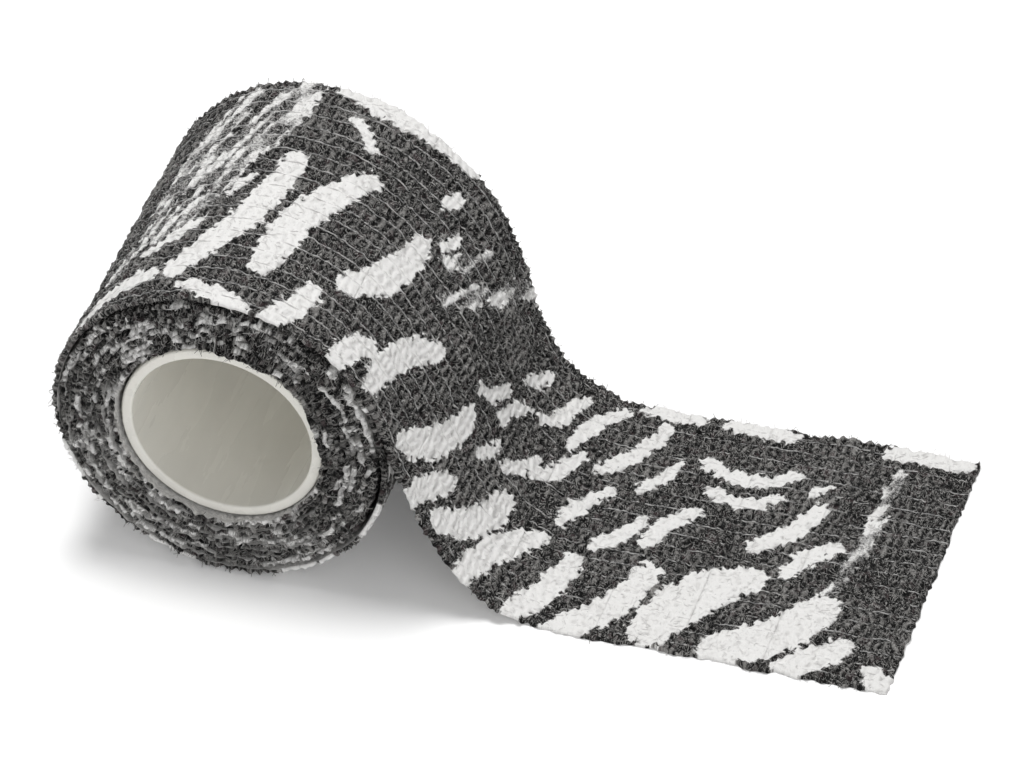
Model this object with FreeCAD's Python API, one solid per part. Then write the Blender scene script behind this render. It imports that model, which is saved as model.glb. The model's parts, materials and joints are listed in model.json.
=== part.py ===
import FreeCAD, Part
import math
import os

# A hand wrap: a roll of crinkled, self-clinging elastic wrap on a plastic tube.
#
# The wrap is a laminate: a backing web, a row of elastic yarns that run along its
# length, and a printed web.  It is wound on the tube, its last turn peels off the
# right-hand side of the roll, and its free tail swings down and lies flat.
#
# Millimetres and degrees.  The origin is the middle of the tube's axis, +Y runs
# along that axis, +X points the way the tail lies, and +Z is up.  Seen from -Y the
# wrap winds outward clockwise.

# ---- driving dimensions ----
WRAP_WIDTH = 50.0

CORE_OUTER_R = 15.0
CORE_BORE_R = 13.4
CORE_LENGTH = 48.0
CORE_RIM_ROUND = 0.3

WEB_THICKNESS = 0.25
YARN_ROOM = 0.20          # between the two webs
YARN_THICKNESS = 0.14
YARN_WIDTH = 0.5
YARN_COUNT = 18
YARN_PITCH = 2.75

LAYER_PITCH = 0.82        # how far the wrap climbs in one turn
PACK_TURNS = 10
SLIP_CLEARANCE = 0.1      # core to pack, and pack to outer turn
REST_DEPTH = 0.12         # how far the outer turn is pressed flat underneath

PEEL_ANGLE = 30.0         # where the wrap leaves the roll, above +X
TAIL_BULGE = 14.0         # length below the peel that steepens
TAIL_STEEPEN = 15.0       # degrees, along the bulge
TAIL_SLOPE = 16.0         # length below the bulge that eases
TAIL_EASE = 11.0          # degrees, along the slope
TAIL_FLAT_PARTS = 4       # bodies that the flat stretch is divided into
FREE_END_X = 97.5
HINGE_GAP = 0.4           # between two neighbouring pieces of the tail

# ---- sizes that follow from them ----
LAMINATE = 2 * WEB_THICKNESS + YARN_ROOM
FULL_TURN = 360.0
HALF_TURN = FULL_TURN / 2
PACK_START_R = CORE_OUTER_R + SLIP_CLEARANCE + LAMINATE / 2
PACK_END_R = PACK_START_R + PACK_TURNS * LAYER_PITCH
OUTER_START_R = PACK_END_R + LAMINATE + SLIP_CLEARANCE
TRIM_MARGIN = 5.0         # how far the trimming block runs past what it trims

# Offsets from the middle of the laminate: positive is the printed side.
PRINTED = (YARN_ROOM / 2, LAMINATE / 2)
BACKING = (-LAMINATE / 2, -YARN_ROOM / 2)
YARN = (-YARN_THICKNESS / 2, YARN_THICKNESS / 2)


# ---- the path of the wrap in the XZ plane ----
# A state is (x, z, heading) and a run is (state, length, turn): an arc that starts
# at the state and turns left by `turn` degrees, or a straight line when turn is 0.

def advance(state, length, turn):
    """The state at the end of a run."""
    x, z, heading = state
    chord = length
    if turn:
        half = math.radians(turn) / 2
        chord = length * math.sin(half) / half
    course = math.radians(heading + turn / 2)
    return (x + chord * math.cos(course), z + chord * math.sin(course), heading + turn)


def spiral(start_r, turns):
    """Runs that wind outward clockwise, a half turn at a time."""
    angle = math.radians(PEEL_ANGLE)
    heading = PEEL_ANGLE - 90 + FULL_TURN * turns
    state = (start_r * math.cos(angle), start_r * math.sin(angle), heading)
    runs = []
    for half in range(2 * turns):
        radius = start_r + LAYER_PITCH * (0.25 + 0.5 * half)
        run = (state, math.pi * radius, -HALF_TURN)
        runs.append(run)
        state = advance(*run)
    return runs


def tail(peel, floor):
    """Runs from the peel down to the floor and along it to the free end."""
    steepen = (peel, TAIL_BULGE, -TAIL_STEEPEN)
    ease = (advance(*steepen), TAIL_SLOPE, TAIL_EASE)
    landing = advance(*ease)
    slope = -landing[2]
    drop = landing[1] - (floor + LAMINATE / 2)
    radius = drop / (1 - math.cos(math.radians(slope)))
    sweep = (landing, radius * math.radians(slope), slope)
    flat = advance(*sweep)
    straight = (flat, FREE_END_X - flat[0], 0)
    return [steepen, ease, sweep, straight]


def length_of(runs):
    return sum(length for _, length, _ in runs)


def stretch(runs, start, end):
    """The runs between two distances along a path."""
    cut = []
    passed = 0
    for state, length, turn in runs:
        low = max(start - passed, 0)
        high = min(end - passed, length)
        if high > low:
            share = turn / length
            cut.append((advance(state, low, share * low), high - low, share * (high - low)))
        passed += length
    return cut


def state_at(runs, distance):
    """The state at a distance along a path."""
    return advance(*stretch(runs, 0, distance)[-1])


# ---- solids ----

def beside(state, offset):
    """The point at an offset to the left of a state."""
    x, z, heading = state
    side = math.radians(heading + 90)
    return FreeCAD.Vector(x + offset * math.cos(side), 0, z + offset * math.sin(side))


def edge(run, offset):
    """One run as an edge, moved sideways by an offset."""
    state, length, turn = run
    points = [beside(advance(state, length * part, turn * part), offset) for part in (0, 0.5, 1)]
    if turn:
        return Part.Arc(*points).toShape()
    return Part.LineSegment(points[0], points[2]).toShape()


def band(runs, offsets, middle_y, width):
    """A strip that follows a path, between two offsets from it."""
    low, high = offsets
    first = runs[0][0]
    last = advance(*runs[-1])
    edges = [edge(run, high) for run in runs]
    edges.append(Part.LineSegment(beside(last, high), beside(last, low)).toShape())
    edges += [edge(run, low) for run in reversed(runs)]
    edges.append(Part.LineSegment(beside(first, low), beside(first, high)).toShape())
    face = Part.Face(Part.Wire(Part.__sortEdges__(edges)))
    face.translate(FreeCAD.Vector(0, middle_y - width / 2, 0))
    return face.extrude(FreeCAD.Vector(0, width, 0))


def yarns(runs):
    """The elastic yarns side by side across the width."""
    first_y = -YARN_PITCH * (YARN_COUNT - 1) / 2
    solids = []
    for number in range(YARN_COUNT):
        solids.append(band(runs, YARN, first_y + number * YARN_PITCH, YARN_WIDTH))
    return Part.makeCompound(solids)


def wrap_layers(body, runs):
    """The three layers of the wrap along some runs, by node name."""
    return {
        body + "_printed_web": band(runs, PRINTED, 0, WRAP_WIDTH),
        body + "_elastic_yarns": yarns(runs),
        body + "_backing_web": band(runs, BACKING, 0, WRAP_WIDTH),
    }


def core_tube():
    """The plastic tube that the wrap is wound on."""
    end = FreeCAD.Vector(0, -CORE_LENGTH / 2, 0)
    along = FreeCAD.Vector(0, 1, 0)
    outside = Part.makeCylinder(CORE_OUTER_R, CORE_LENGTH, end, along)
    bore = Part.makeCylinder(CORE_BORE_R, CORE_LENGTH, end, along)
    tube = outside.cut(bore)
    rims = [rim for rim in tube.Edges if rim.Closed]
    return tube.makeFillet(CORE_RIM_ROUND, rims)


def below_floor(floor):
    """What is pressed away where the roll rests."""
    wide = 2 * OUTER_START_R
    deep = WRAP_WIDTH + 2 * TRIM_MARGIN
    corner = FreeCAD.Vector(-OUTER_START_R, -deep / 2, floor - TRIM_MARGIN)
    return Part.makeBox(wide, deep, TRIM_MARGIN, corner)


# ---- the assembly ----

def layout():
    """The two paths, the floor, and how far along the outer path its hinges and its end are."""
    pack_path = spiral(PACK_START_R, PACK_TURNS)
    outer_path = spiral(OUTER_START_R, 1)
    under_side = beside(state_at(outer_path, lowest_distance(outer_path)), LAMINATE / 2)
    floor = under_side.z + REST_DEPTH
    tail_path = tail(advance(*outer_path[-1]), floor)

    peel = length_of(outer_path)
    drop, landed, end = (peel + length_of(tail_path[:runs]) for runs in (2, 3, 4))
    part = (end - landed) / TAIL_FLAT_PARTS
    hinges = [peel, drop] + [landed + part * number for number in range(TAIL_FLAT_PARTS)]
    return pack_path, outer_path + tail_path, floor, hinges, end


def lowest_distance(outer_path):
    """How far along the outer turn its lowest point is."""
    start, length, turn = outer_path[0]
    to_level = HALF_TURN - start[2]
    return length * to_level / turn


def build():
    """Every node of the assembly, by name."""
    pack_path, wrap_path, floor, hinges, end_of_tail = layout()
    nodes = {"core_tube": core_tube()}
    nodes.update(wrap_layers("pack", pack_path))

    gap = HINGE_GAP / 2
    outer_runs = stretch(wrap_path, 0, hinges[0] - gap)
    outer_turn = wrap_layers("outer_turn", outer_runs)
    web = "outer_turn_printed_web"
    outer_turn[web] = outer_turn[web].cut(below_floor(floor))
    nodes.update(outer_turn)

    ends = hinges[1:] + [end_of_tail + gap]
    for number, (start, end) in enumerate(zip(hinges, ends), 1):
        runs = stretch(wrap_path, start + gap, end - gap)
        nodes.update(wrap_layers("tail_%d" % number, runs))
    return nodes


def main():
    os.makedirs("parts", exist_ok=True)
    for name, shape in build().items():
        shape.exportStep("parts/%s.step" % name)


if __name__ == "__main__":
    main()
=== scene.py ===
import json
import math

import bpy
import numpy as np
from mathutils import Matrix, Vector


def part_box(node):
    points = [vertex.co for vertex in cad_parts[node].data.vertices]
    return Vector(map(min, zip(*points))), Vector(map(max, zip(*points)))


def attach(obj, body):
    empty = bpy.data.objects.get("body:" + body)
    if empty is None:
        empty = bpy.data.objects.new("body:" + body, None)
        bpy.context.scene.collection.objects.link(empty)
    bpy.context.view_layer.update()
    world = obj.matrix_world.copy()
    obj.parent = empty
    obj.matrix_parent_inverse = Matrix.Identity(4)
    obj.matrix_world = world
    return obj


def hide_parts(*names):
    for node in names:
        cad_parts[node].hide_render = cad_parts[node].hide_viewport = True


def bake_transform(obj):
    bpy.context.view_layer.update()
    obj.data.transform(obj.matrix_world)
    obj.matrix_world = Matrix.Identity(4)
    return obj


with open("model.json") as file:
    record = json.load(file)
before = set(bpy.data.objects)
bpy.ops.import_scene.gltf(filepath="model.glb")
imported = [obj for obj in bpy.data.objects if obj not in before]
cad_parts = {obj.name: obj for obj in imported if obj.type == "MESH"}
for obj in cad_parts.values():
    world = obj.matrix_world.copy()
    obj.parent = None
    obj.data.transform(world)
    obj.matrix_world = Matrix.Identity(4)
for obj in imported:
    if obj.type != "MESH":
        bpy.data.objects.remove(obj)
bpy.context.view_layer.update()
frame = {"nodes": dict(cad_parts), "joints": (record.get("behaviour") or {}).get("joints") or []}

# A roll of crinkled, self-clinging hand wrap with a free tail.  The wrap is worked out in
# millimetres in its own coordinates: s is the distance along it from the top of the roll
# towards the free end (negative goes back round the roll), and y is across its width.
MM = 0.001
TURN = 360.0

# ---- sizes read from the frame ----
JOINTS = {joint["name"]: joint for joint in frame["joints"]}


def hinge_point(name):
    """Where a hinge crosses the plane through the middle of the wrap, as (x, z) in mm."""
    origin = JOINTS[name]["pos_m"]
    return np.array([origin[0], origin[2]]) / MM


def span(node, axis):
    """The lowest and highest value of a CAD node along an axis, in mm."""
    low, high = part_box(node)
    return low[axis] / MM, high[axis] / MM


X, Y, Z = range(3)
HALF_WIDTH = span("outer_turn_printed_web", Y)[1]
FLOOR = span("tail_4_backing_web", Z)[0]
HALF_LAMINATE = (span("tail_4_printed_web", Z)[1] - FLOOR) / 2
FREE_END_X = span("tail_6_printed_web", X)[1]
CORE_R = span("core_tube", X)[1]
PEEL_POINT = hinge_point("tail_peel")
PEEL_R = float(np.hypot(*PEEL_POINT))
PEEL_ANGLE = math.degrees(math.atan2(PEEL_POINT[1], PEEL_POINT[0]))

# ---- sizes of the wrap that the frame doesn't state ----
LAYER_PITCH = 0.82        # how far the pack grows in one turn
PACK_TURNS = 10
CORE_GAP = 0.1            # between the tube and the pack
PACK_START_R = CORE_R + CORE_GAP + HALF_LAMINATE
YARN_COUNT = 18
YARN_PITCH = 2.75
YARN_R = 0.10
YARN_SIDES = 5
FIBRE_R = 0.042
FIBRE_SIDES = 3
FIBRES_PER_MM2 = 0.8
EDGE_FIBRES_PER_MM = 3.2
PACK_FIBRES_PER_ROW = 2.6
FIRST_YARN = -YARN_PITCH * (YARN_COUNT - 1) / 2
PUCKER = 1.35             # mean distance between two cross ridges
CLIMB = 0.85              # how far the outer turn climbs before it peels off
TURN_R = PEEL_R - CLIMB   # middle of the outer turn where it lies close round the pack
CLIMB_ANGLE = 200.0       # where it starts to climb over its own start
ZERO_ANGLE = 100.0        # where s is 0 on the roll, above +X

# The tail leaves the roll later at its near edge than at its far edge, so it is a little
# twisted: (peel angle, reach of the curve below the peel, reach of the curve above the
# floor, where it meets the floor), for the near edge and for the far edge.
NEAR_DROP = (15.5, 21.5, 11.0, 47.6)
FAR_DROP = (56.7, 31.2, 34.3, 53.3)

# ---- fineness of the meshes ----
COLUMNS_PER_CHANNEL = 12  # a channel is the strip of web between two yarns
ROW_STEP = 0.25
PACK_ROW_STEP = 0.36


# ---- noise ----

def ease(t):
    return t * t * (3 - 2 * t)


def step(low, high, x):
    """0 at low, 1 at high, and smooth between."""
    return ease(np.clip((np.asarray(x, float) - low) / (high - low), 0, 1))


class Noise:
    """Smooth noise from -1 to 1 on a plane, the same on every run."""

    SIDE = 512

    def __init__(self, seed):
        self.table = np.random.default_rng(seed).uniform(-1, 1, (self.SIDE, self.SIDE))

    def __call__(self, a, b):
        a, b = np.broadcast_arrays(np.asarray(a, float), np.asarray(b, float))
        i = np.floor(a).astype(int)
        j = np.floor(b).astype(int)
        u = ease(a - i)
        v = ease(b - j)
        i0, i1 = i % self.SIDE, (i + 1) % self.SIDE
        j0, j1 = j % self.SIDE, (j + 1) % self.SIDE
        low = self.table[i0, j0] * (1 - u) + self.table[i1, j0] * u
        high = self.table[i0, j1] * (1 - u) + self.table[i1, j1] * u
        return low * (1 - v) + high * v


WOBBLE = Noise(2)
LUMPS = Noise(3)
FINE = Noise(4)
EDGE = Noise(5)
RAGGED = Noise(6)
BLOTCH = Noise(7)


# ---- the path of the wrap ----

def roll_r(angle):
    """Radius of the middle of the outer turn at an angle above +X.

    It lies close round the pack, then climbs over its own start towards the peel."""
    climb = np.clip((CLIMB_ANGLE - np.asarray(angle, float)) / (CLIMB_ANGLE - PEEL_ANGLE), 0, 1)
    return TURN_R + (PEEL_R - TURN_R) * ease(climb)


def edge_path(y):
    """Distance, points and heading along the line at y, from the start of the outer turn."""
    share = (y + HALF_WIDTH) / (2 * HALF_WIDTH)
    peel, below, above, land = [n + share * (f - n) for n, f in zip(NEAR_DROP, FAR_DROP)]
    angles = np.radians(np.linspace(PEEL_ANGLE + TURN, peel, 1500))
    radii = roll_r(np.degrees(angles))
    roll = np.stack([radii * np.cos(angles), radii * np.sin(angles)], 1)

    leave = np.array([math.sin(math.radians(peel)), -math.cos(math.radians(peel))])
    touch = np.array([land, FLOOR + HALF_LAMINATE])
    one = roll[-1] + below * leave
    two = touch - np.array([above, 0])
    t = np.linspace(0, 1, 400)[1:, None]
    drop = (1 - t) ** 3 * roll[-1] + 3 * (1 - t) ** 2 * t * one
    drop += 3 * (1 - t) * t ** 2 * two + t ** 3 * touch
    flat = np.stack([np.linspace(land, FREE_END_X, 300)[1:], np.full(299, touch[1])], 1)

    points = np.concatenate([roll, drop, flat])
    s = np.concatenate([[0], np.cumsum(np.linalg.norm(np.diff(points, axis=0), axis=1))])
    zero = np.interp(-math.radians(ZERO_ANGLE), -angles, s[:len(angles)])
    heading = np.gradient(points, axis=0)
    heading /= np.linalg.norm(heading, axis=1)[:, None]
    return s - zero, points, heading


MIDDLE_S, MIDDLE_POINTS, MIDDLE_HEADING = edge_path(0.0)
START_S, FREE_END_S = MIDDLE_S[0], MIDDLE_S[-1]


def place(s, y):
    """Middle points and outward directions of the outer turn and tail, on a grid of s by y."""
    points = np.zeros((len(s), len(y), 3))
    outward = np.zeros_like(points)
    points[:, :, Y] = y
    for column, across in enumerate(y):
        path_s, path, heading = edge_path(float(np.clip(across, -HALF_WIDTH, HALF_WIDTH)))
        along = np.where(s > 0, s * path_s[-1] / FREE_END_S, s)
        points[:, column, X] = np.interp(along, path_s, path[:, 0])
        points[:, column, Z] = np.interp(along, path_s, path[:, 1])
        outward[:, column, X] = -np.interp(along, path_s, heading[:, 1])
        outward[:, column, Z] = np.interp(along, path_s, heading[:, 0])
    outward /= np.linalg.norm(outward, axis=2)[:, :, None]
    return points, outward


def s_of(name):
    """Distance along the wrap of the place nearest to a hinge."""
    gaps = np.linalg.norm(MIDDLE_POINTS - hinge_point(name), axis=1)
    gaps[MIDDLE_S < 0] = np.inf
    return float(MIDDLE_S[np.argmin(gaps)])


# ---- the crinkled surface ----
RIDGE_HEIGHT = 0.28
PIT_DEPTH = 0.70
PIT_CENTRES = (0.27, 0.73)  # across a channel
PIT_REACH = (0.40, 0.50)  # half-size of a pit along and across the wrap
DEEPEST = -0.52           # the bottom of the deepest pit
VALLEY_DEPTH = 0.12       # how far the web is drawn in along a yarn


def crumple(rows, wide):
    """Small sharp folds in every direction, over fine lint."""
    folds = 0.42 - np.abs(WOBBLE(rows / 1.15, wide / 1.0)) - 0.6 * np.abs(LUMPS(rows / 0.62, wide / 0.58))
    return 0.19 * folds + 0.05 * FINE(rows / 0.35, wide / 0.33)


def relief(s, y, seed):
    """Height of the printed side over its mean, on a grid of s by y.

    Between two yarns the web is gathered into cross ridges, with two pits between each pair
    of ridges."""
    height = np.zeros((len(s), len(y)))
    rows = s[:, None]
    channels = np.floor((y - FIRST_YARN) / YARN_PITCH).astype(int)
    for channel in np.unique(channels):
        columns = np.flatnonzero(channels == channel)
        wide = y[columns][None, :]
        across = (wide - FIRST_YARN) / YARN_PITCH - channel
        rng = np.random.default_rng([seed, channel + 2])
        count = int((s[-1] - s[0]) / PUCKER * 1.2) + 20
        ridges = s[0] - 3 * PUCKER + np.cumsum(rng.uniform(0.7, 1.3, count)) * PUCKER
        tall = rng.uniform(0.3, 1.3, count)
        lean = 1.3 * WOBBLE(rows / 3.1, channel * 7.3)
        bent = rows + lean * (across - 0.5) + 0.35 * WOBBLE(rows / 0.9, wide / 0.8)
        index = np.clip(np.searchsorted(ridges, bent), 1, count - 1)
        gap = ridges[index] - ridges[index - 1]
        between = np.clip((bent - ridges[index - 1]) / gap, 0, 1)
        crest = 0.5 + 0.5 * np.cos(2 * math.pi * between)
        size = tall[index - 1] * (1 - between) + tall[index] * between
        arch = np.sin(math.pi * np.clip(across, 0, 1)) ** 0.5
        web = RIDGE_HEIGHT * size * crest
        for centre in PIT_CENTRES:
            deep = rng.uniform(0.35, 1.2, count)[index]
            middle = centre + rng.uniform(-0.10, 0.10, count)[index]
            off_s = (between - 0.5) * gap / PIT_REACH[0]
            off_y = (across - middle) * YARN_PITCH / PIT_REACH[1]
            web = web - PIT_DEPTH * deep * np.exp(-off_s ** 2 - off_y ** 2)
        height[:, columns] = -VALLEY_DEPTH * (1 - arch) + web * (0.35 + 0.65 * arch)
    wide = y[None, :]
    return height + crumple(rows, wide) + 0.13 * LUMPS(rows / 6.0, wide / 5.0)


# ---- the print ----
# White brush dabs on a dark ground, leaning much the same way so that none makes a letter.
# A dab goes from one end to the other, (s, y) each, and has a width and a bend sideways at
# its middle.
BOLD_MARKS = [
    ((6, 8), (-3, -18), 4.8, 2.2), ((17, 9), (9, -15), 5.0, -2.0), ((28, 6), (21, -11), 4.8, 1.6),
    ((17, -16), (13, -25), 3.8, 0.6), ((28, -17), (24, -25), 3.8, -0.6), ((39, -5), (31, -22), 4.6, -1.6),
    ((51, -5), (42, -21), 4.8, 1.8), ((54, -16), (49, -25), 4.0, -0.6), ((65, -7), (56, -22), 4.8, 1.6),
    ((72, -9), (64, -24), 4.4, -1.2), ((78, -11), (73, -24), 4.4, 1.0), ((89, -11), (80, -25), 5.4, 1.6),
    ((103, -8), (93, -22), 8.0, -2.0), ((115, -11), (103, -23), 7.4, 1.6), ((120, -18), (113, -24), 5.0, 0.4),
    ((125, -22), (129, -25), 3.8, 0.0), ((8, 25), (20, 24), 4.4, -0.5), ((22, 24), (29, 25), 3.8, 0.3),
    ((79, 24), (87, 24), 2.8, 0.3), ((92, 24), (101, 23.5), 3.2, 0.3), ((116, 23.5), (127, 24), 3.8, 0.4),
    ((-19, -23), (-7, -19), 3.6, 0.8), ((0, -22), (9, -25), 3.4, 0.5), ((109, 9), (102, -1), 3.4, 1.2),
    ((114, 2), (108, -5), 3.0, -0.7), ((104, 15), (91, 15), 3.0, 2.4), ((103, 10), (93, 9), 2.6, 1.8),
    ((-35, -17), (-45, -25), 4.6, 1.0), ((-56, -20), (-63, -25), 3.6, 0.5),
    ((-92, -17), (-102, -25), 5.0, 0.8), ((-78, -22), (-86, -25), 3.4, 0.4),
    ((11, 19), (15, 15), 2.2, 0.5), ((-1, -1), (1, 3), 1.6, 0.0),
]
SMALL_MARKS = [
    ((56, 7), (50, 0), 2.4, 0.8), ((62, 10), (57, 2), 2.4, -0.7), ((67, 4), (62, -3), 2.2, 0.6),
    ((73, 10), (67, 1), 2.4, 0.8), ((79, 5), (74, -4), 2.6, -0.9), ((85, 0), (80, -7), 3.0, 0.8),
    ((92, 4), (87, -4), 3.0, -0.7), ((70, 21), (65, 11), 2.4, 0.8), ((76, 22), (71, 11), 2.6, -0.9),
    ((83, 21), (76, 9), 2.8, 1.0), ((59, -2), (56, -7), 2.0, 0.4), ((-3, -7), (-10, -13), 2.2, 0.6),
    ((63, 19), (59, 13), 2.2, 0.5), ((87, 14), (83, 7), 2.2, 0.4), ((33, 13), (31, 9), 2.0, 0.2),
    ((30, 19), (28, 15), 1.8, 0.2), ((91, -10), (88, -8), 1.4, 0.2), ((109, 14), (107, 12), 1.6, 0.0),
]
DRY_MARKS = [
    ((2, 24), (-6, 4), 8.5, 1.2), ((-6, 22), (-12, 0), 6.5, -1.0), ((-2, 7), (-9, -9), 6.0, 0.8),
    ((-11, -3), (-16, -15), 3.4, 0.5), ((42, 11), (35, 2), 2.6, 0.8), ((45, 14), (38, 5), 2.6, -0.9),
    ((48, 19), (40, 10), 2.8, 0.9), ((53, 25), (45, 15), 3.0, -0.9), ((39, 17), (33, 8), 2.6, 0.7),
    ((118, 20), (115, -8), 2.6, 0.8),
]
HIDDEN_SPACING = 11.5     # between the dabs on the part that faces away and down
HIDDEN_LEAN = math.radians(112)


def hidden_marks():
    """Dabs of the same kind, loosely spaced, for the rest of the outer turn."""
    rng = np.random.default_rng(11)
    for column in np.arange(START_S + 4, -24, HIDDEN_SPACING):
        for row in np.arange(-HALF_WIDTH + 5, HALF_WIDTH, HIDDEN_SPACING):
            s, y = column + rng.uniform(-2, 2), row + rng.uniform(-2, 2)
            reach = rng.uniform(2.5, 5.5)
            heading = HIDDEN_LEAN + rng.uniform(-0.3, 0.3)
            way = (reach * math.cos(heading), reach * math.sin(heading))
            width = rng.uniform(1.8, 4.6)
            bend = rng.uniform(-1.2, 1.2)
            yield (s + way[0], y - way[1]), (s - way[0], y + way[1]), width, bend


def distance_to_mark(s, y, start, end, width, bend):
    """Distance of each grid point from a bent dab that tapers at both ends."""
    start, end = np.array(start, float), np.array(end, float)
    along = end - start
    side = np.array([-along[1], along[0]]) / np.linalg.norm(along)
    t = np.linspace(0, 1, 14)[:, None]
    line = start + t * along + 4 * t * (1 - t) * bend * side
    half = width / 2 * (0.72 + 0.28 * np.sin(math.pi * t[:, 0]))
    nearest = np.full(np.broadcast(s, y).shape, np.inf)
    for number, (a, b) in enumerate(zip(line, line[1:])):
        run = b - a
        where = np.clip(((s - a[0]) * run[0] + (y - a[1]) * run[1]) / (run @ run), 0, 1)
        gap = np.hypot(s - a[0] - where * run[0], y - a[1] - where * run[1])
        nearest = np.minimum(nearest, gap - half[number])
    return nearest


def print_on(s, y):
    """How white the print is, from 0 to 1, on a grid of s by y."""
    white = np.zeros((len(s), len(y)))
    rows, wide = s[:, None], y[None, :]
    ragged = 0.60 * RAGGED(rows / 0.9, wide / 0.7) + 0.40 * FINE(rows / 0.4, wide / 0.35)

    def cover(mark, dry=False):
        start, end, width, bend = mark
        reach = width + abs(bend) + 1
        near_s, near_y = (
            np.flatnonzero((values > min(a, b) - reach) & (values < max(a, b) + reach))
            for values, a, b in zip((s, y), start, end)
        )
        if not len(near_s) or not len(near_y):
            return
        patch = np.ix_(near_s, near_y)
        along, across = s[near_s][:, None], y[near_y][None, :]
        ink = step(0.3, -0.3, distance_to_mark(along, across, start, end, width, bend) + ragged[patch])
        if dry:
            ink *= 0.30 + 0.50 * step(-0.5, 0.5, BLOTCH(along * 1.1 - across * 0.40, across / 3.5))
        white[patch] = np.maximum(white[patch], ink)

    for mark in [*hidden_marks(), *BOLD_MARKS, *SMALL_MARKS]:
        cover(mark)
    for mark in DRY_MARKS:
        cover(mark, dry=True)
    return white


# ---- meshes ----

def new_object(name, points, faces, materials, face_materials=None, fields=None):
    mesh = bpy.data.meshes.new(name)
    mesh.vertices.add(len(points))
    mesh.vertices.foreach_set("co", (points * MM).astype(np.float32).ravel())
    counts = np.array([len(block[0]) for block in faces for _ in range(len(block))])
    corners = np.concatenate([block.ravel() for block in faces])
    mesh.loops.add(len(corners))
    mesh.loops.foreach_set("vertex_index", corners.astype(np.int32))
    mesh.polygons.add(len(counts))
    starts = np.concatenate([[0], np.cumsum(counts)[:-1]])
    mesh.polygons.foreach_set("loop_start", starts.astype(np.int32))
    mesh.polygons.foreach_set("use_smooth", np.ones(len(counts), bool))
    for material in materials:
        mesh.materials.append(material)
    if face_materials is not None:
        mesh.polygons.foreach_set("material_index", np.asarray(face_materials, np.int32))
    for field, values in (fields or {}).items():
        kind, entry = ("FLOAT_VECTOR", "vector") if values.ndim == 2 else ("FLOAT", "value")
        attribute = mesh.attributes.new(field, kind, "POINT")
        attribute.data.foreach_set(entry, values.astype(np.float32).ravel())
    mesh.update()
    mesh.validate()
    piece = bpy.data.objects.new(name, mesh)
    bpy.context.scene.collection.objects.link(piece)
    return piece


def grid_faces(ids):
    return np.stack([ids[:-1, :-1], ids[1:, :-1], ids[1:, 1:], ids[:-1, 1:]], -1).reshape(-1, 4)


def wrap_piece(name, printed, backing, wall, strip, white):
    """A closed length of the wrap.  printed and backing are grids of points, wall is the
    pair of edge lines half-way down the cut edges, near then far."""
    rows, columns = printed.shape[:2]
    top = np.arange(rows * columns).reshape(rows, columns)
    under = top + rows * columns
    near = 2 * rows * columns + np.arange(rows)
    far = near + rows
    points = np.concatenate([printed.reshape(-1, 3), backing.reshape(-1, 3), wall[0], wall[1]])
    sides = np.concatenate([
        grid_faces(np.stack([under[:, 0], near, top[:, 0]], 1)),
        grid_faces(np.stack([top[:, -1], far, under[:, -1]], 1)),
    ])
    start_cap = np.stack([top[0, :-1], top[0, 1:], under[0, 1:], under[0, :-1]], 1)
    end_cap = np.stack([top[-1, 1:], top[-1, :-1], under[-1, :-1], under[-1, 1:]], 1)
    corner_caps = np.array([
        [top[0, 0], under[0, 0], near[0]], [under[0, -1], top[0, -1], far[0]],
        [under[-1, 0], top[-1, 0], near[-1]], [top[-1, -1], under[-1, -1], far[-1]],
    ])
    upper, lower = grid_faces(top), grid_faces(under)[:, ::-1]
    faces = [upper, sides, start_cap, end_cap, lower, corner_caps]
    on_back = len(lower)
    painted = len(upper) + len(sides) + len(start_cap) + len(end_cap)
    slots = np.concatenate([np.zeros(painted), np.ones(on_back), np.zeros(4)])
    fields = {
        "strip": np.concatenate([strip.reshape(-1, 3), strip.reshape(-1, 3), strip[:, 0], strip[:, -1]]),
        "paint": np.concatenate([white.ravel(), white.ravel(), white[:, 0], white[:, -1]]),
    }
    return new_object(name, points, faces, [PRINTED, BACKING], slots, fields)


def tubes(name, lines, radius, sides, material, paint):
    """Thin closed tubes along polylines with the same number of points, joined as one piece.
    paint says how white each point is."""
    lines = np.asarray(lines)
    heading = np.gradient(lines, axis=1)
    heading /= np.linalg.norm(heading, axis=2)[..., None]
    across = np.cross(heading, [0.31, 0.83, 0.46])
    across /= np.linalg.norm(across, axis=2)[..., None]
    up = np.cross(heading, across)
    turn = (np.arange(sides) * 2 * math.pi / sides)[:, None]
    ring = across[:, :, None] * np.cos(turn) + up[:, :, None] * np.sin(turn)
    points = lines[:, :, None] + radius * ring
    ids = np.arange(points[..., 0].size).reshape(points.shape[:3])
    closed = np.concatenate([ids, ids[:, :, :1]], 2)
    walls = np.concatenate([grid_faces(tube) for tube in closed])[:, ::-1]
    ends = np.concatenate([ids[:, 0], ids[:, -1, ::-1]])
    fields = {"paint": np.repeat(np.asarray(paint).ravel(), sides)}
    return new_object(name, points.reshape(-1, 3), [walls, ends], [material], None, fields)


# ---- materials ----

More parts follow.
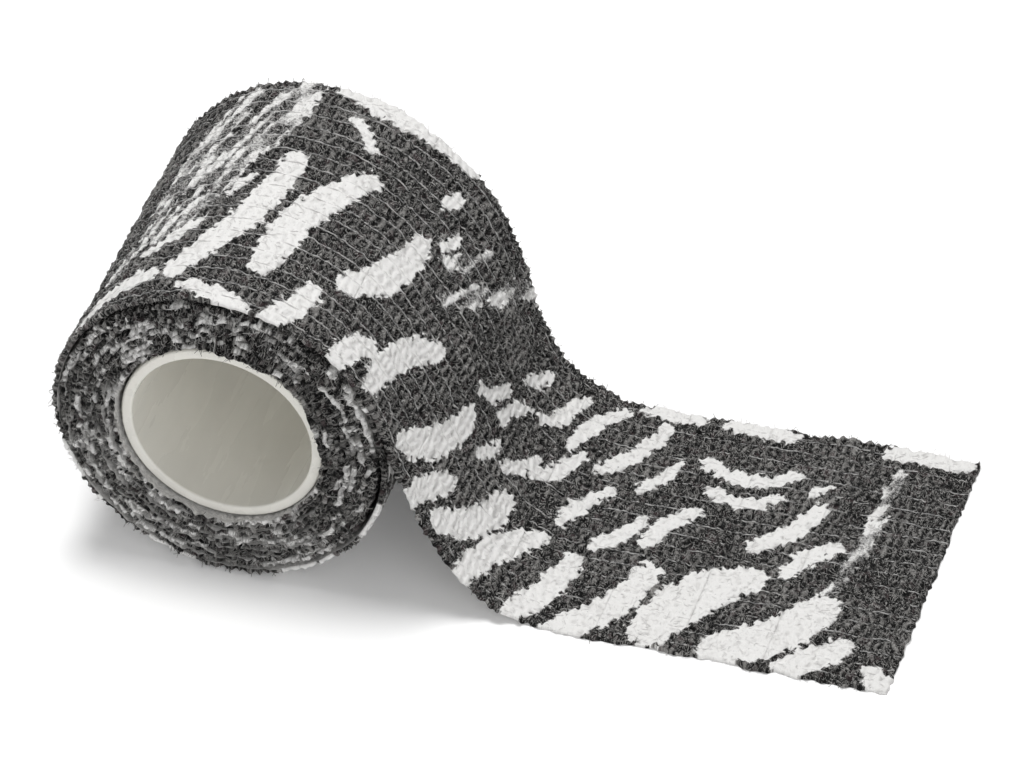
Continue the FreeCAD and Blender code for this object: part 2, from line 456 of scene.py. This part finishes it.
class Nodes:
    """A material's node tree, with short calls to add and join nodes."""

    def __init__(self, name):
        self.material = bpy.data.materials.new(name)
        self.material.use_nodes = True
        self.tree = self.material.node_tree
        self.shader = self.tree.nodes["Principled BSDF"]

    def add(self, kind, **settings):
        node = self.tree.nodes.new(kind)
        for key, value in settings.items():
            setattr(node, key, value)
        return node

    def join(self, source, target):
        if isinstance(source, bpy.types.NodeSocket):
            self.tree.links.new(source, target)
        else:
            target.default_value = source

    def field(self, name):
        return self.add("ShaderNodeAttribute", attribute_name=name)

    def maths(self, operation, a, b=0.0, clamp=False):
        node = self.add("ShaderNodeMath", operation=operation, use_clamp=clamp)
        self.join(a, node.inputs[0])
        self.join(b, node.inputs[1])
        return node.outputs[0]

    def remap(self, value, low, high, to_low=0.0, to_high=1.0):
        node = self.add("ShaderNodeMapRange", clamp=True, interpolation_type="SMOOTHSTEP")
        for socket, given in zip(node.inputs, (value, low, high, to_low, to_high)):
            self.join(given, socket)
        return node.outputs[0]

    def noise(self, vector, scale, stretch=(1, 1, 1), detail=3.0, roughness=0.6):
        moved = self.add("ShaderNodeMapping")
        moved.inputs["Scale"].default_value = stretch
        self.join(vector, moved.inputs["Vector"])
        node = self.add("ShaderNodeTexNoise")
        self.join(moved.outputs[0], node.inputs["Vector"])
        node.inputs["Scale"].default_value = scale
        node.inputs["Detail"].default_value = detail
        node.inputs["Roughness"].default_value = roughness
        return node.outputs[0]

    def blend(self, share, a, b, kind="MIX"):
        node = self.add("ShaderNodeMix", data_type="RGBA", blend_type=kind)
        self.join(share, node.inputs[0])
        for given, socket in ((a, node.inputs[6]), (b, node.inputs[7])):
            self.join((*given, 1.0) if isinstance(given, tuple) else given, socket)
        return node.outputs[2]

    def bump(self, height, distance, strength=1.0):
        node = self.add("ShaderNodeBump")
        node.inputs["Strength"].default_value = strength
        node.inputs["Distance"].default_value = distance
        self.join(height, node.inputs["Height"])
        self.join(node.outputs[0], self.shader.inputs["Normal"])

    def set(self, **sockets):
        for name, value in sockets.items():
            self.shader.inputs[name.replace("_", " ")].default_value = value


def printed_cloth():
    """The crinkled, printed web: dark or white, with painted shade in its pits and low places, pale yarns and
    loose fibres.
    """
    n = Nodes("printed_web")
    strip = n.field("strip").outputs["Vector"]
    white = n.field("paint").outputs["Fac"]
    parts = n.add("ShaderNodeSeparateXYZ")
    n.join(strip, parts.inputs[0])
    height = parts.outputs[2]

    fibre_a = n.noise(strip, 1.0, (1.3, 5.5, 1.0))
    fibre_b = n.noise(strip, 1.0, (6.0, 1.6, 1.0))
    threads = n.maths("MAXIMUM", fibre_a, fibre_b)
    specks = n.noise(strip, 2.6, detail=4.0, roughness=0.72)
    pit_shade_dots = n.noise(strip, 1.7, detail=2.0, roughness=0.5)

    ragged = n.maths("MULTIPLY", n.maths("SUBTRACT", specks, 0.5), 1.5)
    inked = n.remap(n.maths("ADD", white, ragged), 0.24, 0.80)

    # Painted shade: the dark ink fades to almost black where the web lies low, in its pits and folds.
    recess_shade = n.remap(height, -0.10, 0.24)
    dark_ink_and_shade = n.blend(recess_shade, (0.003, 0.003, 0.003), (0.215, 0.209, 0.200))
    warm = n.remap(n.noise(strip, 0.55, detail=2.0), 0.54, 0.70, 0.0, 0.7)
    dark_ink_and_shade = n.blend(warm, dark_ink_and_shade, (0.070, 0.050, 0.052))
    dark_ink_and_shade = n.blend(n.remap(threads, 0.54, 0.65, 0.0, 0.90), dark_ink_and_shade, (0.400, 0.391, 0.378))
    # Painted shade: near-black dots from two noises stand in for the shade down in small pits.
    dark_ink_and_shade = n.blend(n.remap(specks, 0.36, 0.50, 0.9, 0.0), dark_ink_and_shade, (0.008, 0.008, 0.008))
    dark_ink_and_shade = n.blend(n.remap(pit_shade_dots, 0.36, 0.46, 0.85, 0.0), dark_ink_and_shade, (0.008, 0.008, 0.008))

    # Painted shade on the white ink: greyer where the web lies low, with grey dots in the pits.
    shade = n.remap(height, -0.36, -0.06)
    white_ink_and_shade = n.blend(shade, (0.60, 0.59, 0.58), (0.87, 0.862, 0.846))
    white_ink_and_shade = n.blend(n.remap(specks, 0.33, 0.42, 0.45, 0.0), white_ink_and_shade, (0.42, 0.41, 0.41))

    n.join(n.blend(inked, dark_ink_and_shade, white_ink_and_shade), n.shader.inputs["Base Color"])
    n.set(Roughness=0.92, Sheen_Weight=0.04, Sheen_Roughness=0.6, Specular_IOR_Level=0.08)
    n.bump(n.maths("ADD", threads, n.maths("MULTIPLY", specks, 0.8)), 0.00035, 0.8)
    return n.material


def backing_cloth():
    """The unprinted pale web underneath."""
    n = Nodes("backing_web")
    strip = n.field("strip").outputs["Vector"]
    fibres = n.noise(strip, 1.0, (1.4, 5.0, 1.0), detail=5.0)
    specks = n.noise(strip, 3.6, detail=4.0, roughness=0.7)
    colour = n.blend(n.remap(fibres, 0.35, 0.66), (0.50, 0.49, 0.48), (0.80, 0.79, 0.77))
    colour = n.blend(n.remap(specks, 0.30, 0.44, 0.5, 0.0), colour, (0.28, 0.28, 0.28))
    n.join(colour, n.shader.inputs["Base Color"])
    n.set(Roughness=0.94, Sheen_Weight=0.12, Sheen_Roughness=0.6, Specular_IOR_Level=0.2)
    n.bump(n.maths("ADD", fibres, specks), 0.0003, 0.8)
    return n.material


def yarn_rubber():
    """The stretchy yarns, seen through the gathers."""
    n = Nodes("elastic_yarn")
    where = n.add("ShaderNodeTexCoord").outputs["Object"]
    lint = n.remap(n.noise(where, 1400.0, detail=3.0), 0.38, 0.62)
    bare = n.blend(lint, (0.17, 0.17, 0.17), (0.48, 0.475, 0.466))
    printed = n.blend(lint, (0.66, 0.65, 0.64), (0.86, 0.85, 0.84))
    colour = n.blend(n.field("paint").outputs["Fac"], bare, printed)
    n.join(colour, n.shader.inputs["Base Color"])
    n.set(Roughness=0.7, Specular_IOR_Level=0.3)
    return n.material


def core_plastic():
    """The smooth ivory tube, a little scuffed."""
    n = Nodes("core_plastic")
    where = n.add("ShaderNodeTexCoord").outputs["Object"]
    scuffs = n.noise(where, 160.0, (1.0, 0.15, 1.0), detail=5.0)
    colour = n.blend(n.remap(scuffs, 0.30, 0.75), (0.76, 0.745, 0.690), (0.82, 0.806, 0.745))
    n.join(colour, n.shader.inputs["Base Color"])
    n.join(n.remap(scuffs, 0.3, 0.8, 0.22, 0.36), n.shader.inputs["Roughness"])
    n.set(Specular_IOR_Level=0.5)
    n.bump(scuffs, 0.00004, 0.5)
    return n.material


def fuzz_fibre():
    """Fine loose fibres on the surface and along the cut edges, pale grey or printed white."""
    n = Nodes("fibre")
    where = n.add("ShaderNodeTexCoord").outputs["Object"]
    tone = n.remap(n.noise(where, 420.0, detail=2.0), 0.35, 0.65)
    bare = n.blend(tone, (0.10, 0.098, 0.095), (0.44, 0.432, 0.415))
    printed = n.blend(tone, (0.66, 0.65, 0.64), (0.88, 0.87, 0.86))
    n.join(n.blend(n.field("paint").outputs["Fac"], bare, printed), n.shader.inputs["Base Color"])
    n.set(Roughness=0.9, Specular_IOR_Level=0.2)
    return n.material


def flat_paint(name, colour, roughness, glow):
    n = Nodes(name)
    n.set(Base_Color=(*colour, 1.0), Roughness=roughness)
    n.set(Emission_Color=(1.0, 1.0, 1.0, 1.0), Emission_Strength=glow)
    return n.material


PRINTED = printed_cloth()
BACKING = backing_cloth()
YARN = yarn_rubber()
CORE = core_plastic()
FIBRE = fuzz_fibre()


# ---- the outer turn and the tail ----
SKIN = 0.33               # from the middle of the laminate to either side
UNDER_SHARE = 0.6         # how much of the relief shows on the backing
EDGE_FRAY = 0.28          # how far a cut edge strays in short waves
EDGE_SWAY = 0.22          # and in long ones
WAIST_S = 82.0            # where the far edge of the tail is drawn in a little
WAIST_DEPTH = 0.8
WHITE_FILL = 0.58         # how much of the relief the thick white ink evens out


def edge_wander(s, y, seed):
    """How far a cut edge strays sideways, fading out towards the middle of the width."""
    rows = s[:, None]
    near_edge = np.clip(np.abs(y) / HALF_WIDTH, 0, 1) ** 12
    side = np.where(y > 0, 40.0, 0.0)[None, :]
    stray = EDGE(rows / 1.1, side + seed) * EDGE_FRAY + EDGE(rows / 4.5, side + seed + 9) * EDGE_SWAY
    return stray * near_edge[None, :]


def press_on_floor(points):
    """Nothing goes below the floor: what would is pressed flat on it."""
    low = points[..., Z] < FLOOR
    points[..., Z] = np.where(low, FLOOR + 0.02 * (points[..., Z] - FLOOR), points[..., Z])
    return points


ROWS = np.linspace(START_S, FREE_END_S, int((FREE_END_S - START_S) / ROW_STEP) + 1)
COLUMNS = np.linspace(-HALF_WIDTH, HALF_WIDTH, int(2 * HALF_WIDTH / YARN_PITCH * COLUMNS_PER_CHANNEL) + 1)
PEEL_S = s_of("tail_peel")

white = print_on(ROWS, COLUMNS)
middle, outward = place(ROWS, COLUMNS)
height = np.maximum(relief(ROWS, COLUMNS, seed=0), DEEPEST) * (1 - WHITE_FILL * white)
rows, wide = ROWS[:, None], COLUMNS[None, :]
stray = edge_wander(ROWS, COLUMNS, seed=0)
middle[:, :, Y] += stray
waist = np.exp(-((rows - WAIST_S) / 16) ** 2) * step(-5, HALF_WIDTH, wide)
middle[:, :, Y] -= WAIST_DEPTH * waist
fray = 0.22 * EDGE(COLUMNS / 0.7, 77.0) + 0.15 * EDGE(COLUMNS / 4.0, 91.0)
middle[:, :, X] += step(FREE_END_S - 2.5, FREE_END_S, rows) * (fray - 0.2)[None, :]

loose = step(PEEL_S - 8, PEEL_S + 14, rows)
under = SKIN - (UNDER_SHARE * loose + 0.05) * height + 0.06 * loose * FINE(rows / 0.4, wide / 0.4)
under = np.where(loose > 0, under, np.minimum(under, SKIN + 0.02))
printed_side = press_on_floor(middle + outward * (SKIN + height)[:, :, None])
backing_side = press_on_floor(middle - outward * under[:, :, None])
cut_edges = []
for column, sign in ((0, -1), (-1, 1)):
    line = (printed_side[:, column] + backing_side[:, column]) / 2
    line[:, Y] += sign * (0.12 + 0.14 * EDGE(ROWS / 0.8, 60.0 + sign))
    cut_edges.append(line)

strip = np.stack([np.broadcast_to(rows, height.shape), np.broadcast_to(wide, height.shape), height], -1)


def row_at(s):
    return int(np.clip(round((s - START_S) / (ROWS[1] - ROWS[0])), 0, len(ROWS) - 1))


def on_print(s, y):
    """Points of the printed side, outward directions and whiteness at places on the wrap.

    The points are interpolated; the other two are those of the nearest grid point before."""
    row = np.clip((s - START_S) / (ROWS[1] - ROWS[0]), 0, len(ROWS) - 1.001)
    column = np.clip((y + HALF_WIDTH) / (COLUMNS[1] - COLUMNS[0]), 0, len(COLUMNS) - 1.001)
    i, j = row.astype(int), column.astype(int)
    u, v = (row - i)[..., None], (column - j)[..., None]
    one = printed_side[i, j] * (1 - v) + printed_side[i, j + 1] * v
    two = printed_side[i + 1, j] * (1 - v) + printed_side[i + 1, j + 1] * v
    return one * (1 - u) + two * u, outward[i, j], white[i, j]


def yarn_lines(start, end):
    """The yarns of one length of the wrap, which dip under the cross ridges."""
    s = np.linspace(start, end, int((end - start) / 0.45) + 2)[None, :]
    number = np.arange(YARN_COUNT)[:, None]
    y = FIRST_YARN + number * YARN_PITCH + 0.22 * WOBBLE(s / 2.2, number * 3.7)
    points, up, paint = on_print(np.broadcast_to(s, y.shape), y)
    sink = -0.02 + 0.09 * step(PEEL_S, PEEL_S + 20, s) + 0.16 * WOBBLE(s / 0.8, number * 5.1)
    return points - up * sink[..., None], paint


def surface_fibres(start, end, seed):
    """Curled fibres lying on the print."""
    rng = np.random.default_rng([23, seed])
    count = int((end - start) * 2 * HALF_WIDTH * FIBRES_PER_MM2)
    s, y = rng.uniform(start, end, count), rng.uniform(-HALF_WIDTH, HALF_WIDTH, count)
    angle = rng.uniform(0, 2 * math.pi, (count, 1)) + np.linspace(0, 1, 5) * rng.normal(0, 1.6, (count, 1))
    stride = rng.uniform(0.10, 0.30, (count, 1))
    way = np.cumsum(np.stack([np.cos(angle), np.sin(angle)]) * stride, axis=2)
    along = np.clip(s[:, None] + way[0], start, end)
    points, up, paint = on_print(along, np.clip(y[:, None] + way[1], -HALF_WIDTH, HALF_WIDTH))
    lift = FIBRE_R + rng.uniform(0, 0.12, (count, 1)) * np.sin(math.pi * np.linspace(0, 1, 5))
    points = points + up * lift[..., None]
    points[..., Z] = np.maximum(points[..., Z], FLOOR + FIBRE_R)
    return points, paint


def edge_fibres(start, end, seed):
    """Short fibres standing out of the two cut edges."""
    rng = np.random.default_rng([29, seed])
    count = int((end - start) * EDGE_FIBRES_PER_MM)
    s, side = rng.uniform(start, end, count), rng.choice([-1.0, 1.0], count)
    root, up, paint = on_print(s, side * HALF_WIDTH)
    root = root - up * rng.uniform(0, SKIN, (count, 1))
    way = rng.normal(0, 0.45, (count, 3)) + 0.5 * up
    way[:, Y] += side
    way /= np.linalg.norm(way, axis=1)[:, None]
    t = np.linspace(0, 1, 5)[None, :, None]
    curl = rng.normal(0, 0.4, (count, 1, 3))
    reach = rng.uniform(0.25, 0.65, (count, 1, 1))
    points = root[:, None] + reach * (t * way[:, None] + t ** 2 * curl)
    points[..., Z] = np.maximum(points[..., Z], FLOOR + FIBRE_R)
    return points, np.broadcast_to(paint[:, None], points.shape[:2])


def wrap_length(name, start, end, nodes):
    """One length of the wrap with its yarns and fibres; returns the three pieces."""
    first, last = row_at(start), row_at(end)
    cut = slice(first, last + 1)
    wall = [line[cut] for line in cut_edges]
    cloth = wrap_piece(f"{name}_wrap", printed_side[cut], backing_side[cut], wall, strip[cut], white[cut])
    lines, paint = yarn_lines(ROWS[first], ROWS[last])
    yarns = tubes(f"{name}_yarns", lines, YARN_R, YARN_SIDES, YARN, paint)
    fibres = zip(surface_fibres(ROWS[first], ROWS[last], first), edge_fibres(ROWS[first], ROWS[last], first))
    lines, paint = (np.concatenate(both) for both in fibres)
    fuzz = tubes(f"{name}_fibres", lines, FIBRE_R, FIBRE_SIDES, FIBRE, paint)
    if nodes:
        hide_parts(*(f"{node}_{part}" for node in nodes for part in ("printed_web", "backing_web")))
        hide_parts(*(f"{node}_elastic_yarns" for node in nodes))
    length = (ROWS[last] - ROWS[first]) * MM
    return cloth, yarns, fuzz, length


HINGES = ["tail_peel", "tail_bend_1", "tail_bend_2", "tail_bend_3", "tail_bend_4"]
hinge_s = [s_of(name) for name in HINGES]
TAIL_5_END_S = hinge_s[-1] + (hinge_s[-1] - hinge_s[-2])
cuts = [PEEL_S - 8] + [(a + b) / 2 for a, b in zip(hinge_s, [*hinge_s[1:], TAIL_5_END_S])]

turn_cuts = np.linspace(START_S, cuts[0], 4)
for number, (start, end) in enumerate(zip(turn_cuts, turn_cuts[1:]), 1):
    nodes = ["outer_turn"] if number == 1 else []
    cloth, yarns, fuzz, length = wrap_length(f"outer_turn_{number}", start, end, nodes)
    for piece in (cloth, yarns, fuzz):
        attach(piece, "outer_turn")

for number, (name, start, end) in enumerate(zip(HINGES, cuts, cuts[1:]), 1):
    cloth, yarns, fuzz, length = wrap_length(f"tail_{number}", start, end, [f"tail_{number}"])
    hinge = hinge_point(name) * MM
    for piece in (cloth, yarns, fuzz):
        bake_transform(piece)

cloth, yarns, fuzz, length = wrap_length("tail_6", cuts[-1], FREE_END_S, ["tail_6"])
for piece in (cloth, yarns, fuzz):
    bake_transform(piece)


# ---- the wound pack ----
PACK_OUTER_R = PACK_START_R + LAYER_PITCH * PACK_TURNS + HALF_LAMINATE
PACK_PIECES = 4
OUTWARD_PACKING = 1.12    # above 1, the outer layers lie closer together than the inner ones
FINE_BAND = 3.0           # width of the finely meshed band at each edge of the pack


def pack_spiral():
    """Distance, angle and radius along the pack, from its core outwards."""
    angle = np.radians(np.linspace(PEEL_ANGLE + TURN * (PACK_TURNS + 1), PEEL_ANGLE + TURN, 20000))
    wound = np.linspace(0, 1, len(angle))
    radius = PACK_START_R + LAYER_PITCH * PACK_TURNS * (1 - (1 - wound) ** OUTWARD_PACKING)
    steps = np.hypot(np.diff(radius), radius[1:] * np.diff(angle))
    return np.concatenate([[0], np.cumsum(steps)]), angle, radius


def mottle(angle, radius, side):
    """White and dark blotches over the end faces, a few layers deep and longer along them, with the white
    held down as painted shade.
    """
    around = angle * 20.0
    value = BLOTCH(around / 6.5, radius / 2.1 + side) + 0.7 * BLOTCH(around / 2.2, radius / 0.9 + side + 30)
    # Painted shade: the white is held to 0.72 so that the end faces come out darker.
    return 0.72 * step(-0.10, 0.65, value + 0.5 * FINE(around / 0.6, radius / 0.4 + side))


path_s, path_angle, path_r = pack_spiral()
pack_rows = np.linspace(0, path_s[-1], int(path_s[-1] / PACK_ROW_STEP))
pack_angle = np.interp(pack_rows, path_s, path_angle)
pack_r = np.interp(pack_rows, path_s, path_r)
fine_band = np.linspace(-HALF_WIDTH, -HALF_WIDTH + FINE_BAND, 11)
coarse_band = np.linspace(-HALF_WIDTH + FINE_BAND, HALF_WIDTH - FINE_BAND, 10)[1:-1]
pack_columns = np.concatenate([fine_band, coarse_band, -fine_band[::-1]])

pack_height = np.maximum(relief(pack_rows, pack_columns, seed=5), DEEPEST)
spread = np.clip((np.abs(pack_columns) - HALF_WIDTH + FINE_BAND) / FINE_BAND, 0, 1)[None, :]
pack_stray = edge_wander(pack_rows, pack_columns, seed=15) * 1.5
flare = (0.16 * EDGE(pack_rows / 2.3, 33.0) + 0.16 * EDGE(pack_rows / 0.9, 37.0))[:, None] * spread
r_middle = pack_r[:, None] + flare
r_top = np.minimum(r_middle + SKIN + pack_height * (0.35 + 0.65 * spread), PACK_OUTER_R)
r_under = np.maximum(r_middle - SKIN + 0.5 * pack_height, CORE_R + 0.03)


def around_axis(radius):
    y = pack_columns[None, :] + pack_stray
    angle = pack_angle[:, None]
    return np.stack([radius * np.cos(angle), y, radius * np.sin(angle)], -1)


pack_printed, pack_backing = around_axis(r_top), around_axis(r_under)
pack_edges = []
for column, sign in ((0, -1), (-1, 1)):
    line = (pack_printed[:, column] + pack_backing[:, column]) / 2
    line[:, Y] += sign * (0.15 + 0.35 * EDGE(pack_rows / 0.8, 70.0 + sign))
    pack_edges.append(line)
pack_white_shaded = mottle(pack_angle[:, None], pack_r[:, None], np.where(pack_columns > 0, 50.0, 0.0)[None, :])
pack_strip = np.stack([
    np.broadcast_to(pack_rows[:, None], pack_height.shape),
    np.broadcast_to(pack_columns[None, :], pack_height.shape),
    pack_height,
], -1)


def pack_fibres(first, last):
    """Short fibres standing out of the pack's end faces."""
    rng = np.random.default_rng([31, first])
    count = int((last - first) * PACK_FIBRES_PER_ROW)
    row, side = rng.integers(first, last, count), rng.choice([0, -1], count)
    top, under = pack_printed[row, side], pack_backing[row, side]
    root = under + (top - under) * rng.uniform(0, 1, (count, 1))
    way = rng.normal(0, 0.8, (count, 3))
    way[:, Y] += np.where(side == 0, -1.0, 1.0)
    way /= np.linalg.norm(way, axis=1)[:, None]
    t = np.linspace(0, 1, 5)[None, :, None]
    curl = rng.normal(0, 0.45, (count, 1, 3))
    lines = root[:, None] + rng.uniform(0.3, 0.8, (count, 1, 1)) * (t * way[:, None] + t ** 2 * curl)
    reach = np.hypot(lines[..., X], lines[..., Z])
    inside = (reach.max(axis=1) < PACK_OUTER_R) & (reach.min(axis=1) > CORE_R)
    paint = np.broadcast_to(pack_white_shaded[row, side][:, None], reach.shape)
    return lines[inside], paint[inside]


pack_bounds = np.linspace(0, len(pack_rows) - 1, PACK_PIECES + 1).astype(int)
for number, (first, last) in enumerate(zip(pack_bounds, pack_bounds[1:]), 1):
    cut = slice(first, last + 1)
    wall = [line[cut] for line in pack_edges]
    cloth = wrap_piece(
        f"pack_wrap_{number}", pack_printed[cut], pack_backing[cut], wall, pack_strip[cut], pack_white_shaded[cut])
    lines, paint = pack_fibres(first, last)
    fuzz = tubes(f"pack_fibres_{number}", lines, FIBRE_R, FIBRE_SIDES, FIBRE, paint)
    if number == 1:
        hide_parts("pack_printed_web", "pack_backing_web", "pack_elastic_yarns")
    for piece in (cloth, fuzz):
        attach(piece, "pack")
    length = (pack_rows[last] - pack_rows[first]) * MM


# ---- the core ----
core = frame["nodes"]["core_tube"]
core.data.materials.clear()
core.data.materials.append(CORE)


# ---- camera, floor and light ----
CAMERA_AZIMUTH = math.radians(19.78)
CAMERA_ELEVATION = math.radians(40.47)
CAMERA_ROLL = math.radians(-2.95)
CAMERA_DISTANCE = 1000.0
LENS = 245.7
AIM_RIGHT, AIM_UP = 33.1, -9.77
FLOOR_GLOW = 0.08         # the floor is lit a little from below, like a light table
FLOOR_REACH = 4000.0
SKY_LIGHT = 0.40


def add_camera():
    ca, sa = math.cos(CAMERA_AZIMUTH), math.sin(CAMERA_AZIMUTH)
    ce, se = math.cos(CAMERA_ELEVATION), math.sin(CAMERA_ELEVATION)
    right = Vector((ca, sa, 0))
    back = Vector((sa * ce, -ca * ce, se))
    up = back.cross(right)
    place_at = (right * AIM_RIGHT + up * AIM_UP + back * CAMERA_DISTANCE) * MM
    rolled_right = math.cos(CAMERA_ROLL) * right + math.sin(CAMERA_ROLL) * up
    rolled_up = back.cross(rolled_right)
    data = bpy.data.cameras.new("camera")
    data.lens = LENS
    data.sensor_width = 36.0
    data.clip_start = 0.05
    camera = bpy.data.objects.new("camera", data)
    axes = Matrix((rolled_right, rolled_up, back)).transposed()
    camera.matrix_world = Matrix.Translation(place_at) @ axes.to_4x4()
    bpy.context.scene.collection.objects.link(camera)
    bpy.context.scene.camera = camera


def add_light(name, at, size, watts):
    """A square soft light at a point, aimed at the roll."""
    data = bpy.data.lights.new(name, "AREA")
    data.size = size
    data.energy = watts
    lamp = bpy.data.objects.new(name, data)
    at = Vector(at)
    lamp.matrix_world = Matrix.Translation(at) @ at.to_track_quat("Z", "Y").to_matrix().to_4x4()
    bpy.context.scene.collection.objects.link(lamp)


def add_floor():
    signs = ((-1, -1), (1, -1), (1, 1), (-1, 1))
    corners = np.array([(x * FLOOR_REACH, y * FLOOR_REACH, FLOOR) for x, y in signs])
    paint = flat_paint("floor", (0.94, 0.94, 0.94), 0.9, FLOOR_GLOW)
    new_object("floor", corners, [np.array([[0, 1, 2, 3]])], [paint])


def add_world():
    """Even white light from every side."""
    world = bpy.data.worlds.new("studio")
    world.use_nodes = True
    background = world.node_tree.nodes["Background"]
    background.inputs["Color"].default_value = (1.0, 1.0, 1.0, 1.0)
    background.inputs["Strength"].default_value = SKY_LIGHT
    bpy.context.scene.world = world


add_camera()
add_floor()
add_light("key", (-0.08, 0.10, 1.10), size=0.34, watts=9.0)
add_light("fill", (0.75, -0.8, 0.70), size=0.7, watts=2.6)
add_world()
bpy.context.scene.view_settings.view_transform = "Standard"
